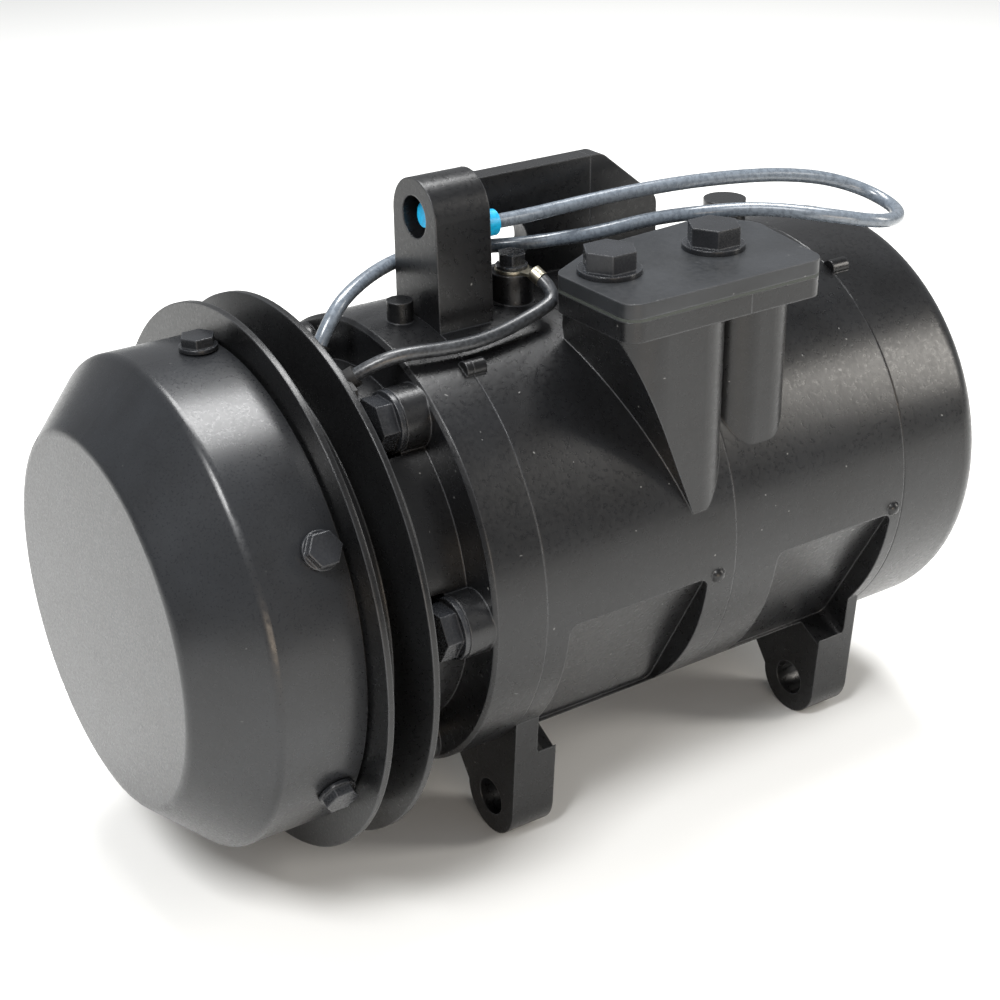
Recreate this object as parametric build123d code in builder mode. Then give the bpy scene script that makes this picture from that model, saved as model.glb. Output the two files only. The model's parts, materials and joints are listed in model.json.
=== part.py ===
"""Belt-driven swash-plate refrigerant compressor with a magnetic clutch.

Three double-headed pistons run parallel to the shaft and are worked by one inclined plate.
X is the shaft axis: the clutch is at -X and the rear head at +X. Z is up, and the four
lower mounting ears point down. The origin is on the shaft axis, at the middle of the belt
groove. All sizes are millimetres.
"""
import math
import os
from build123d import *

# ---- clearances -----------------------------------------------------------------------
SEAT_GAP = 0.02        # two pieces pressed or clamped together
RUN_GAP = 0.05         # radial running clearance of shaft, pistons and rollers
SOFT_GAP = 0.1         # round a soft seal in its groove
BALL_GAP = 0.15        # round a ball in its socket or track
BOLT_GAP = 0.25        # radial clearance of a bolt in its hole
AIR_GAP = 0.5          # clutch gap between the armature and the friction face, coil off

# ---- pulley and its bearing -------------------------------------------------------------
RIM_RADIUS = 76.0
RIM_WIDTH = 14.8
GROOVE_WIDTH = 11.5    # at the rim
GROOVE_DEPTH = 12.5
GROOVE_ANGLE = 36.0    # included angle of the V
LIP_RADIUS = 66.0      # front lip that carries the dust cover
LIP_WALL = 6.5
LIP_LENGTH = 6.0       # lip in front of the friction face
FRICTION_X = -15.0     # friction face of the pulley
FRICTION_WALL = 6.0
ROTOR_REAR_X = 10.0
ROTOR_WALL = 5.0       # steel left under the groove
BEARING_BORE = 20.0
BEARING_RADIUS = 31.0
BEARING_WIDTH = 24.0
BEARING_X = -1.0       # middle of the bearing
BALL_R = 3.5
BALLS_PER_ROW = 16
ROW_OFFSET = 6.2
HUB_WALL = 5.0

# ---- dust cover -----------------------------------------------------------------------
COVER_SHEET = 1.4
COVER_FACE_X = -48.8
COVER_FACE_RADIUS = 51.0
COVER_CREASE_X = -32.0
COVER_REAR_X = -8.2
COVER_FILLET = 3.0
COVER_SCREWS = 6
COVER_SCREW_X = -14.0
COVER_SCREW_ANGLE = 89.0

# ---- clutch hub and armature -----------------------------------------------------------
ARMATURE_RADIUS = 57.5
ARMATURE_BORE = 38.0
ARMATURE_THICKNESS = 5.0
SPRING_THICKNESS = 0.8
SPRING_COUNT = 3
HUB_FLANGE_RADIUS = 30.0
HUB_FLANGE = 3.0
HUB_RADIUS = 14.0
HUB_FRONT_X = -31.5
HUB_RIVET_PITCH = 24.0
ARMATURE_RIVET_PITCH = 47.0
RIVET_R = 2.0
NUT_FLATS = 19.0
NUT_HEIGHT = 9.0
SHIM = 0.5
KEY_WIDTH = 5.0
KEY_LENGTH = 12.0

# ---- shaft and swash plate --------------------------------------------------------------
SHAFT_R = 10.0
HUB_SEAT_R = 9.0
THREAD_R = 6.0
THREAD_FRONT_X = -43.0
SHAFT_SHOULDER_X = -16.0
OIL_HOLE_R = 3.0
STROKE = 28.0
BORE_R = 18.0
BORE_CIRCLE = 38.0     # radius of the circle that the three bores lie on
BORE_ANGLES = (90.0, 210.0, 330.0)
PLATE_RADIUS = 49.5
PLATE_THICKNESS = 9.0
SWASH_HUB_R = 16.0
SWASH_HUB_HALF = 24.0
SHOE_BALL_R = 7.0
BALL_HEIGHT = 13.5     # ball centre above the middle of the plate, along its normal
SHOE_RADIUS = 9.0
SHOE_TOP = 9.5

# ---- cylinder block, heads and bolts ------------------------------------------------------
BODY_RADIUS = 64.5
FRONT_JOINT_X = 48.0
BLOCK_HALF = 64.0      # length of each cylinder half
REAR_LENGTH = 33.0
HEAD_FLANGE = 16.4     # axial length of the front head's flange
BARREL_RADIUS = 52.0
BARREL_FRONT_X = 17.5
NOSE_FRONT_X = -15.0
COIL_SEAT_R = 24.0
CHAMBER_RADIUS = 50.2
CHAMBER_HALF = 23.0
THRUST_RADIUS = 17.5
RACE = 1.0
ROLLER_R = 1.0
NEEDLE_R = 1.2
NEEDLE_CUP_R = 14.0
NEEDLE_LENGTH = 16.0
BOLT_COUNT = 6
BOLT_CIRCLE = 55.5
BOLT_R = 4.0
BOLT_FLATS = 13.0
BOLT_HEAD = 5.3
BOLT_WASHER_R = 8.4
BOLT_BOSS_R = 8.6
BOLT_SEAT_X = 24.5     # front of the six bolt bosses on the front head
RECESS_RADIUS = 59.7
REED = 0.4
VALVE_PLATE = 2.5
GASKET = 0.6
RING_CIRCLE = 61.7
RING_R = 1.0
FLAT_DISTANCE = 58.2   # sunk flats on the barrel's lower sides
FLAT_HEIGHT = 50.6
FLAT_ANGLES = (208.5, 331.5)
NUB_R = 2.4            # cast nubs beside the joints
WALL = 4.0

# ---- mounting ears, upper lug and port block ------------------------------------------------
EAR_Y = 36.0
EAR_Z = -72.5
EAR_RADIUS = 11.2
EAR_HOLE_R = 5.5
EAR_THICKNESS = 14.0
LUG_Y = -4.0
LUG_Z = 92.0
LUG_RADIUS = 10.5
LUG_HOLE_R = 5.75
LUG_THICKNESS = 17.0
RIB_START = 9.0         # behind the front joint
RIB_LENGTH = 88.0
RIB_SLOPE = (20.0, 80.0)
RIB_TOP = 96.0
RIB_Y = (4.5, 11.0)
PORT_OUTLINE = [(72, -34), (72, -66), (137, -66), (143, -32), (135, -19), (92, -23)]
PORT_TOP = 75.2
PORT_FLANGE = 5.5
PORT_DEPTH = 55.0       # how far the columns reach down into the barrel
PORT_COLUMNS = [(75.0, 112.0, -63.0, 12.0), (112.0, 137.0, -58.5, 10.0),
                (98.0, 124.0, -53.0, 2.0)]   # start, end, front, corner radius
COLUMN_BACK_Y = -25.0
FLANK_ANGLE = 22.0      # the front column leans back under its flange
PORT_FILLET = 5.0
PORT_GASKET = 0.8
COVER_PLATE = 4.0
PORT_BOLTS = [(84, -41.5), (119, -41.5)]
SUCTION_PORT = (101.0, -43.0, 8.5)
DISCHARGE_PORT = (129.6, -41.5, 5.0)
BOSS = (77.5, -6.0)
BOSS_TOP = 72.0
BOSS_RADIUS = 6.0
HEAD_BOSS = (43.0, -3.5, 70.0, 3.6)    # x, y, top, radius
REAR_BOSS = (167.0, 10.0, 72.4, 6.5)
EARTH_R = 2.5

# ---- leads: round wire, routes chosen point by point ------------------------------------------
POWER_R = 2.0
GROUND_R = 1.9
POWER_ROUTE = [
    (19.4, -1.4, 62.0), (22.4, -0.9, 66.8), (29.4, 2.4, 71.8), (42.5, 9.2, 74.2),
    (56.5, 14.8, 74.6), (70.5, 13.0, 74.6), (81.5, 4.0, 75.6), (91.5, -3.5, 77.0),
    (104.5, -9.6, 78.6), (120.5, -11.4, 79.8), (136.5, -13.6, 79.4), (150.5, -25.6, 81.2),
    (163.5, -40.5, 80.2), (176.5, -46.3, 77.4), (189.0, -42.0, 75.4), (195.6, -32.0, 75.4),
    (193.0, -22.5, 78.4), (182.0, -17.4, 82.6), (167.0, -14.8, 85.6), (151.0, -12.8, 87.2),
    (135.0, -10.6, 87.9), (119.0, -8.0, 87.6), (104.0, -6.0, 86.9), (92.0, -5.0, 86.3),
    (82.0, -5.0, 86.1), (72.0, -5.4, 86.5)]
GROUND_ROUTE = [
    (20.0, -19.1, 59.0), (24.6, -21.7, 62.2), (32.5, -24.4, 63.8), (43.0, -25.8, 63.0),
    (53.0, -26.0, 62.8), (62.0, -24.9, 63.5), (69.5, -23.6, 64.6), (76.0, -22.6, 65.9),
    (80.5, -21.4, 67.2), (81.4, -18.2, 70.0), (80.6, -15.8, 71.4)]

# ---- values that follow ------------------------------------------------------------------------
MID_X = FRONT_JOINT_X + BLOCK_HALF
REAR_JOINT_X = MID_X + BLOCK_HALF
REAR_END_X = REAR_JOINT_X + REAR_LENGTH
HEAD_FACE_X = FRONT_JOINT_X - HEAD_FLANGE
STACK = 2 * REED + VALVE_PLATE + GASKET
TILT = math.atan(STROKE / 2 / BORE_CIRCLE)
PISTON_HALF = BLOCK_HALF - STROKE / 2 - 0.8
BALL_OFFSET = BALL_HEIGHT / math.cos(TILT)
SEAT_X = MID_X - BLOCK_HALF + NEEDLE_LENGTH + 6
ROTOR_INNER = RIM_RADIUS - GROOVE_DEPTH - ROTOR_WALL
COVER_RADIUS = LIP_RADIUS + SEAT_GAP + COVER_SHEET
ARMATURE_REAR_X = FRICTION_X - AIR_GAP
ARMATURE_FRONT_X = ARMATURE_REAR_X - ARMATURE_THICKNESS
SPRING_FRONT_X = ARMATURE_FRONT_X - SPRING_THICKNESS
HUB_FLANGE_X = SPRING_FRONT_X - HUB_FLANGE
NORMAL = Vector(math.cos(TILT), 0, math.sin(TILT))
SHAFT_REAR_X = REAR_JOINT_X - 2
THRUST_SEAT = SWASH_HUB_HALF + 2 * RACE + 2 * ROLLER_R
PORT_SPAN = (PORT_OUTLINE[0][0], PORT_OUTLINE[3][0])


def turn(points, mode=Mode.ADD):
    """Turn an outline of (x, radius) points round the shaft axis."""
    with BuildSketch(Plane.XZ) as outline:
        with BuildLine():
            Polyline(*points, close=True)
        make_face()
    revolve(outline.sketch, axis=Axis.X, mode=mode)


def ring(x0, x1, inner, outer, mode=Mode.ADD):
    """A plain ring round the shaft axis, or a disc where inner is 0."""
    turn([(x0, inner), (x1, inner), (x1, outer), (x0, outer)], mode)


def rod(x0, x1, radius, y, z, mode=Mode.ADD):
    """A round rod or hole along X, from x0 to x1, through the point (y, z)."""
    with BuildSketch(Plane.YZ.offset(x0)) as circle:
        with Locations((y, z)):
            Circle(radius)
    extrude(circle.sketch, amount=x1 - x0, mode=mode)


def post(x, y, z0, z1, radius, mode=Mode.ADD):
    """A round post or hole along Z."""
    with BuildSketch(Plane.XY.offset(z0)) as circle:
        with Locations((x, y)):
            Circle(radius)
    extrude(circle.sketch, amount=z1 - z0, mode=mode)


def prism(x0, x1, outline, mode=Mode.ADD):
    """Extrude a closed outline of (y, z) points along X."""
    with BuildSketch(Plane.YZ.offset(x0)) as profile:
        with BuildLine():
            Polyline(*outline, close=True)
        make_face()
    extrude(profile.sketch, amount=x1 - x0, mode=mode)


def hexagon(plane, x, y, flats, height, mode=Mode.ADD):
    """A hexagonal head or nut, standing on a plane."""
    with BuildSketch(plane) as outline:
        with Locations((x, y)):
            RegularPolygon(flats / 2, 6, major_radius=False)
    extrude(outline.sketch, amount=height, mode=mode)


def around(radius, angle):
    """The (y, z) place on a circle round the shaft."""
    return radius * math.cos(math.radians(angle)), radius * math.sin(math.radians(angle))


def bolt_places():
    return [around(BOLT_CIRCLE, 360 / BOLT_COUNT * k) for k in range(BOLT_COUNT)]


def bore_places():
    return [around(BORE_CIRCLE, angle) for angle in BORE_ANGLES]


def bolt_holes(x0, x1, radius=BOLT_R + BOLT_GAP):
    for y, z in bolt_places():
        rod(x0, x1, radius, y, z, Mode.SUBTRACT)


def sphere_at(centre, radius, mode=Mode.ADD):
    with Locations(centre):
        Sphere(radius, rotation=(0, 90, 0), mode=mode)


def save(name, part):
    part.label = name
    export_step(part, f"parts/{name}.step")


os.makedirs("parts", exist_ok=True)

# ---- pulley ------------------------------------------------------------------------------------
GROOVE_FLOOR = RIM_RADIUS - GROOVE_DEPTH
FLOOR_HALF = GROOVE_WIDTH / 2 - GROOVE_DEPTH * math.tan(math.radians(GROOVE_ANGLE / 2))
LIP_FRONT_X = FRICTION_X - LIP_LENGTH
BEARING_FRONT_X = BEARING_X - BEARING_WIDTH / 2
BEARING_REAR_X = BEARING_X + BEARING_WIDTH / 2
SNAP = 1.2
with BuildPart() as pulley:
    turn([
        (FRICTION_X, BEARING_RADIUS + SEAT_GAP), (FRICTION_X, LIP_RADIUS - LIP_WALL),
        (LIP_FRONT_X, LIP_RADIUS - LIP_WALL), (LIP_FRONT_X, LIP_RADIUS),
        (-RIM_WIDTH / 2, LIP_RADIUS), (-RIM_WIDTH / 2, RIM_RADIUS),
        (-GROOVE_WIDTH / 2, RIM_RADIUS), (-FLOOR_HALF, GROOVE_FLOOR),
        (FLOOR_HALF, GROOVE_FLOOR), (GROOVE_WIDTH / 2, RIM_RADIUS),
        (RIM_WIDTH / 2, RIM_RADIUS), (RIM_WIDTH / 2, LIP_RADIUS),
        (ROTOR_REAR_X, GROOVE_FLOOR), (ROTOR_REAR_X, ROTOR_INNER),
        (FRICTION_X + FRICTION_WALL, ROTOR_INNER),
        (FRICTION_X + FRICTION_WALL, BEARING_RADIUS + HUB_WALL),
        (BEARING_REAR_X + 1, BEARING_RADIUS + HUB_WALL),
        (BEARING_REAR_X + 1, BEARING_RADIUS + SEAT_GAP)])
    ring(BEARING_FRONT_X - SNAP, BEARING_FRONT_X, BEARING_RADIUS - 1, BEARING_RADIUS + 1.6,
         Mode.SUBTRACT)
    with BuildSketch(Plane.YZ.offset(FRICTION_X - 1)):
        for k in range(6):
            SlotArc(CenterArc((0, 0), 47.5, 60 * k + 8, 44), height=2.6)
    extrude(amount=FRICTION_WALL + 2, mode=Mode.SUBTRACT)
    for k in range(COVER_SCREWS):
        y, z = around(1, COVER_SCREW_ANGLE + 360 / COVER_SCREWS * k)
        with BuildSketch(Plane(origin=(COVER_SCREW_X, 0, 0), z_dir=(0, y, z))) as screw_hole:
            Circle(2.5)
        extrude(screw_hole.sketch.moved(Location((0, 56 * y, 56 * z))), amount=20,
                mode=Mode.SUBTRACT)
save("pulley", pulley.part)

# ---- pulley bearing: two rows of balls ------------------------------------------------------------
PITCH = (BEARING_BORE + BEARING_RADIUS) / 2 + 0.25
TRACK = BALL_R + BALL_GAP


def ball_track(x, mode=Mode.SUBTRACT):
    with BuildSketch(Plane.XZ) as circle:
        with Locations((x, PITCH)):
            Circle(TRACK)
    revolve(circle.sketch, axis=Axis.X, mode=mode)


with BuildPart() as inner_race:
    ring(BEARING_FRONT_X, BEARING_REAR_X, BEARING_BORE + SEAT_GAP, PITCH - 1.8)
    for side in (-1, 1):
        ball_track(BEARING_X + side * ROW_OFFSET)
save("bearing_inner_race", inner_race.part)

with BuildPart() as outer_race:
    ring(BEARING_FRONT_X, BEARING_REAR_X, PITCH + 1.8, BEARING_RADIUS)
    for side in (-1, 1):
        ball_track(BEARING_X + side * ROW_OFFSET)
save("bearing_outer_race", outer_race.part)

with BuildPart() as bearing_balls:
    for side in (-1, 1):
        for k in range(BALLS_PER_ROW):
            y, z = around(PITCH, 360 / BALLS_PER_ROW * k)
            sphere_at((BEARING_X + side * ROW_OFFSET, y, z), BALL_R)
save("bearing_balls", bearing_balls.part)

with BuildPart() as bearing_ring:
    ring(BEARING_FRONT_X - SNAP + SEAT_GAP, BEARING_FRONT_X - SEAT_GAP,
         BEARING_RADIUS - 1.6, BEARING_RADIUS + 1.5)
    with Locations((BEARING_FRONT_X, 0, -BEARING_RADIUS)):
        Box(4, 8, 6, mode=Mode.SUBTRACT)
save("bearing_retaining_ring", bearing_ring.part)

# ---- dust cover: pressed steel cup held by six screws ------------------------------------------------
with BuildPart() as cover:
    with BuildSketch(Plane.XZ) as cup:
        with BuildLine():
            outer_line = FilletPolyline(
                (COVER_FACE_X, 0), (COVER_FACE_X, COVER_FACE_RADIUS),
                (COVER_CREASE_X, COVER_RADIUS), (COVER_REAR_X, COVER_RADIUS),
                radius=COVER_FILLET)
            Line(outer_line @ 1, (COVER_REAR_X, 0))
            Line((COVER_REAR_X, 0), outer_line @ 0)
        make_face()
        with BuildLine(mode=Mode.PRIVATE) as inner_wire:
            inner_line = FilletPolyline(
                (COVER_FACE_X + COVER_SHEET, 0),
                (COVER_FACE_X + COVER_SHEET, COVER_FACE_RADIUS - COVER_SHEET * 0.35),
                (COVER_CREASE_X + COVER_SHEET * 0.35, COVER_RADIUS - COVER_SHEET),
                (COVER_REAR_X, COVER_RADIUS - COVER_SHEET),
                radius=COVER_FILLET - COVER_SHEET)
            Line(inner_line @ 1, (COVER_REAR_X, 0))
            Line((COVER_REAR_X, 0), inner_line @ 0)
        make_face(inner_wire.edges(), mode=Mode.SUBTRACT)
    revolve(axis=Axis.X)
    for k in range(COVER_SCREWS):
        y, z = around(1, COVER_SCREW_ANGLE + 360 / COVER_SCREWS * k)
        with BuildSketch(Plane(origin=(COVER_SCREW_X, 0, 0), z_dir=(0, y, z))) as clear_hole:
            Circle(2.5 + BOLT_GAP)
        extrude(clear_hole.sketch.moved(Location((0, 60 * y, 60 * z))), amount=15,
                mode=Mode.SUBTRACT)
save("dust_cover", cover.part)

with BuildPart() as cover_screws:
    for k in range(COVER_SCREWS):
        y, z = around(1, COVER_SCREW_ANGLE + 360 / COVER_SCREWS * k)
        base = Plane(origin=(COVER_SCREW_X, 0, 0), x_dir=(1, 0, 0), z_dir=(0, y, z))
        shank = base.offset(LIP_RADIUS - LIP_WALL + 0.4)
        with BuildSketch(shank):
            Circle(2.5 - SEAT_GAP)
        extrude(amount=COVER_RADIUS - LIP_RADIUS + LIP_WALL - 0.4 + 0.6)
        with BuildSketch(base.offset(COVER_RADIUS + 0.25)):
            Circle(5.0)
        extrude(amount=1.1)
        hexagon(base.offset(COVER_RADIUS + 1.3), 0, 0, 8.0, 2.6)
save("cover_screws", cover_screws.part)

# ---- field coil -----------------------------------------------------------------------------------
CAN_INNER = BEARING_RADIUS + HUB_WALL + 1.6
CAN_OUTER = ROTOR_INNER - 1.6
CAN_FRONT_X = FRICTION_X + FRICTION_WALL + 2
CAN_REAR_X = BARREL_FRONT_X
CAN_WALL = 2.2
with BuildPart() as coil_case:
    ring(CAN_FRONT_X, CAN_REAR_X, CAN_INNER, CAN_OUTER)
    ring(CAN_FRONT_X - 1, CAN_REAR_X - 3.5, CAN_INNER + CAN_WALL, CAN_OUTER - CAN_WALL,
         Mode.SUBTRACT)
    ring(CAN_REAR_X - 2.5, CAN_REAR_X, COIL_SEAT_R + SEAT_GAP, CAN_INNER + 1)
save("coil_case", coil_case.part)

with BuildPart() as coil_winding:
    ring(CAN_FRONT_X + 1.2, CAN_REAR_X - 3.7, CAN_INNER + CAN_WALL + 0.2,
         CAN_OUTER - CAN_WALL - 0.2)
save("coil_winding", coil_winding.part)

# ---- clutch hub, springs and armature ----------------------------------------------------------------
with BuildPart() as armature:
    ring(ARMATURE_FRONT_X, ARMATURE_REAR_X, ARMATURE_BORE, ARMATURE_RADIUS)
    with BuildSketch(Plane.YZ.offset(ARMATURE_FRONT_X - 1)):
        for k in range(SPRING_COUNT):
            SlotArc(CenterArc((0, 0), 52.5, 120 * k + 20, 80), height=2.2)
        for k in range(SPRING_COUNT):
            with Locations(around(ARMATURE_RIVET_PITCH, 120 * k)):
                Circle(RIVET_R + SEAT_GAP)
    extrude(amount=ARMATURE_THICKNESS + 2, mode=Mode.SUBTRACT)
save("armature_plate", armature.part)

SPRING_WIDTH = 11.0
with BuildPart() as springs:
    with BuildSketch(Plane.YZ.offset(SPRING_FRONT_X)):
        for k in range(SPRING_COUNT):
            start = Vector(*around(HUB_RIVET_PITCH, 120 * k - 62))
            end = Vector(*around(ARMATURE_RIVET_PITCH, 120 * k))
            middle = (start + end) * 0.5
            turn_angle = math.degrees(math.atan2((end - start).Y, (end - start).X))
            with Locations(Location((middle.X, middle.Y, 0), (0, 0, turn_angle))):
                SlotCenterToCenter((end - start).length, SPRING_WIDTH)
            with Locations((start.X, start.Y), (end.X, end.Y)):
                Circle(RIVET_R + SEAT_GAP, mode=Mode.SUBTRACT)
    extrude(amount=SPRING_THICKNESS)
save("leaf_springs", springs.part)

RIVET_HEAD = 1.4
with BuildPart() as armature_rivets:
    for k in range(SPRING_COUNT):
        y, z = around(ARMATURE_RIVET_PITCH, 120 * k)
        rod(SPRING_FRONT_X - AIR_GAP, ARMATURE_REAR_X - 0.6, RIVET_R, y, z)
        rod(SPRING_FRONT_X - AIR_GAP - RIVET_HEAD, SPRING_FRONT_X - AIR_GAP, 3.8, y, z)
save("armature_rivets", armature_rivets.part)

with BuildPart() as hub_rivets:
    for k in range(SPRING_COUNT):
        y, z = around(HUB_RIVET_PITCH, 120 * k - 62)
        rod(HUB_FLANGE_X - RIVET_HEAD, SPRING_FRONT_X + SPRING_THICKNESS + RIVET_HEAD,
            RIVET_R, y, z)
        rod(HUB_FLANGE_X - RIVET_HEAD, HUB_FLANGE_X - SEAT_GAP, 3.8, y, z)
        rod(SPRING_FRONT_X + SPRING_THICKNESS + SEAT_GAP,
            SPRING_FRONT_X + SPRING_THICKNESS + RIVET_HEAD, 3.4, y, z)
save("hub_rivets", hub_rivets.part)

with BuildPart() as hub:
    turn([
        (HUB_FRONT_X, HUB_SEAT_R + SEAT_GAP), (HUB_FRONT_X, HUB_RADIUS),
        (HUB_FLANGE_X, HUB_RADIUS), (HUB_FLANGE_X, HUB_FLANGE_RADIUS),
        (SPRING_FRONT_X, HUB_FLANGE_RADIUS), (SPRING_FRONT_X, HUB_RADIUS),
        (SHAFT_SHOULDER_X - 2 * SHIM, HUB_RADIUS),
        (SHAFT_SHOULDER_X - 2 * SHIM, HUB_SEAT_R + SEAT_GAP)])
    with Locations((HUB_FRONT_X + KEY_LENGTH / 2, 0, HUB_SEAT_R)):
        Box(KEY_LENGTH + 0.2, KEY_WIDTH + SEAT_GAP, KEY_WIDTH, mode=Mode.SUBTRACT)
    for k in range(SPRING_COUNT):
        y, z = around(HUB_RIVET_PITCH, 120 * k - 62)
        rod(HUB_FLANGE_X - 1, SPRING_FRONT_X + 1, RIVET_R + SEAT_GAP, y, z, Mode.SUBTRACT)
save("clutch_hub", hub.part)

with BuildPart() as key:
    with Locations((HUB_FRONT_X + KEY_LENGTH / 2, 0, HUB_SEAT_R)):
        Box(KEY_LENGTH, KEY_WIDTH, KEY_WIDTH - 0.2)
save("hub_key", key.part)

with BuildPart() as shims:
    for k in range(2):
        ring(SHAFT_SHOULDER_X - (k + 1) * SHIM + 0.01, SHAFT_SHOULDER_X - k * SHIM - 0.01,
             HUB_SEAT_R + SOFT_GAP, HUB_RADIUS - 1)
save("hub_shims", shims.part)

NUT_FRONT_X = HUB_FRONT_X - NUT_HEIGHT
with BuildPart() as nut:
    hexagon(Plane.YZ.offset(NUT_FRONT_X), 0, 0, NUT_FLATS, NUT_HEIGHT - 2)
    ring(HUB_FRONT_X - 2, HUB_FRONT_X, THREAD_R + SEAT_GAP, 12.5)
    ring(NUT_FRONT_X - 1, HUB_FRONT_X, 0, THREAD_R + SEAT_GAP, Mode.SUBTRACT)
    ring(NUT_FRONT_X - 1, NUT_FRONT_X + 1.5, 0, THREAD_R + 0.8, Mode.SUBTRACT)
save("hub_nut", nut.part)

# ---- shaft, swash plate and their bearings ---------------------------------------------------------------
PLUG_X = MID_X - BALL_OFFSET
with BuildPart() as shaft:
    turn([
        (THREAD_FRONT_X, 0), (THREAD_FRONT_X, THREAD_R - 1), (THREAD_FRONT_X + 1, THREAD_R),
        (HUB_FRONT_X + 0.5, THREAD_R), (HUB_FRONT_X + 0.5, HUB_SEAT_R),
        (SHAFT_SHOULDER_X, HUB_SEAT_R), (SHAFT_SHOULDER_X, SHAFT_R),
        (SHAFT_REAR_X - 1, SHAFT_R), (SHAFT_REAR_X, SHAFT_R - 1), (SHAFT_REAR_X, 0)])
    ring(PLUG_X - 6, SHAFT_REAR_X + 1, 0, OIL_HOLE_R, Mode.SUBTRACT)
    with Locations((HUB_FRONT_X + KEY_LENGTH / 2, 0, HUB_SEAT_R)):
        Box(KEY_LENGTH + 0.2, KEY_WIDTH + SEAT_GAP, KEY_WIDTH, mode=Mode.SUBTRACT)
save("shaft", shaft.part)

with BuildPart() as plug:
    sphere_at((PLUG_X, 0, 0), OIL_HOLE_R - SOFT_GAP)
save("oil_plug_ball", plug.part)

with BuildPart() as swash:
    with BuildSketch(Plane(origin=(MID_X, 0, 0), z_dir=NORMAL)):
        Circle(PLATE_RADIUS)
    extrude(amount=PLATE_THICKNESS / 2, both=True)
    ring(MID_X - SWASH_HUB_HALF, MID_X + SWASH_HUB_HALF, 0, SWASH_HUB_R)
    ring(MID_X - SWASH_HUB_HALF - 1, MID_X + SWASH_HUB_HALF + 1, 0, SHAFT_R + SEAT_GAP,
         Mode.SUBTRACT)
save("swash_plate", swash.part)

for name, near in (("turning_thrust_races", 0), ("fixed_thrust_races", RACE + 2 * ROLLER_R)):
    with BuildPart() as races:
        for side in (-1, 1):
            face = MID_X + side * (SWASH_HUB_HALF + near)
            outer_face = face + side * (RACE - SEAT_GAP)
            ring(min(face, outer_face) + SEAT_GAP / 2, max(face, outer_face),
                 SHAFT_R + 0.3, SWASH_HUB_R + 0.5)
    save(name, races.part)

with BuildPart() as thrust_rollers:
    for side in (-1, 1):
        x = MID_X + side * (SWASH_HUB_HALF + RACE + ROLLER_R)
        for k in range(16):
            y, z = around(1, 22.5 * k)
            with BuildSketch(Plane(origin=(x, 11.2 * y, 11.2 * z), z_dir=(0, y, z))):
                Circle(ROLLER_R - RUN_GAP)
            extrude(amount=4.8)
save("thrust_rollers", thrust_rollers.part)

CUP_WALL = NEEDLE_CUP_R - SHAFT_R - 2 * NEEDLE_R - 2 * RUN_GAP
CUP_FRONTS = (SEAT_X - NEEDLE_LENGTH, 2 * MID_X - SEAT_X)
with BuildPart() as needle_cups:
    for x in CUP_FRONTS:
        ring(x, x + NEEDLE_LENGTH, NEEDLE_CUP_R - CUP_WALL, NEEDLE_CUP_R - SEAT_GAP)
save("needle_bearing_cups", needle_cups.part)

with BuildPart() as needles:
    for x in CUP_FRONTS:
        for k in range(22):
            y, z = around(SHAFT_R + RUN_GAP + NEEDLE_R, 360 / 22 * k)
            rod(x + 1, x + NEEDLE_LENGTH - 1, NEEDLE_R, y, z)
save("needle_rollers", needles.part)

# ---- pistons, balls and shoes -------------------------------------------------------------------------
PISTON_R = BORE_R - RUN_GAP
PISTON_INNER = BALL_OFFSET + 0.5
RING_DEPTH = 1.2
BRIDGE_RADIUS = CHAMBER_RADIUS + 0.3
with BuildPart() as blank:
    with BuildSketch(Plane.XZ):
        with Locations((0, PISTON_R / 2)):
            Rectangle(2 * PISTON_HALF, PISTON_R)
        for side in (-1, 1):
            with Locations((side * (PISTON_HALF - 5), PISTON_R)):
                Rectangle(2, 2 * RING_DEPTH, mode=Mode.SUBTRACT)
    revolve(axis=Axis.X)

with BuildPart() as shoe:
    with BuildSketch(Plane.XZ):
        with BuildLine():
            Polyline((0, 0), (SHOE_RADIUS, 0), (SHOE_RADIUS, SHOE_TOP - PLATE_THICKNESS / 2),
                     (0, SHOE_TOP - PLATE_THICKNESS / 2), close=True)
        make_face()
        with Locations((0, BALL_HEIGHT - PLATE_THICKNESS / 2 - RUN_GAP)):
            Circle(SHOE_BALL_R + BALL_GAP, mode=Mode.SUBTRACT)
    revolve(axis=Axis.Z)

for number, angle in enumerate(BORE_ANGLES, 1):
    piston_y, piston_z = around(BORE_CIRCLE, angle)
    piston_x = MID_X - math.tan(TILT) * piston_z
    front_ball = Vector(piston_x - BALL_OFFSET, piston_y, piston_z)
    rear_ball = Vector(piston_x + BALL_OFFSET, piston_y, piston_z)
    with BuildPart() as piston:
        add(blank.part.moved(Location((piston_x, piston_y, piston_z))))
        rod(piston_x - PISTON_INNER, piston_x + PISTON_INNER, BRIDGE_RADIUS, 0, 0,
            Mode.SUBTRACT)
        for ball in (front_ball, rear_ball):
            sphere_at(ball, SHOE_BALL_R + BALL_GAP, Mode.SUBTRACT)
    save(f"piston_{number}", piston.part)
    with BuildPart() as front_ball_part:
        sphere_at(front_ball, SHOE_BALL_R)
    save(f"front_ball_{number}", front_ball_part.part)
    with BuildPart() as rear_ball_part:
        sphere_at(rear_ball, SHOE_BALL_R)
    save(f"rear_ball_{number}", rear_ball_part.part)
    with BuildPart() as shoes:
        for ball, direction in ((front_ball, NORMAL * -1), (rear_ball, NORMAL)):
            foot = ball - direction * (BALL_HEIGHT - PLATE_THICKNESS / 2 - RUN_GAP)
            add(shoe.part.moved(Location(Plane(origin=foot, z_dir=direction))))
    save(f"shoes_{number}", shoes.part)


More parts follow.
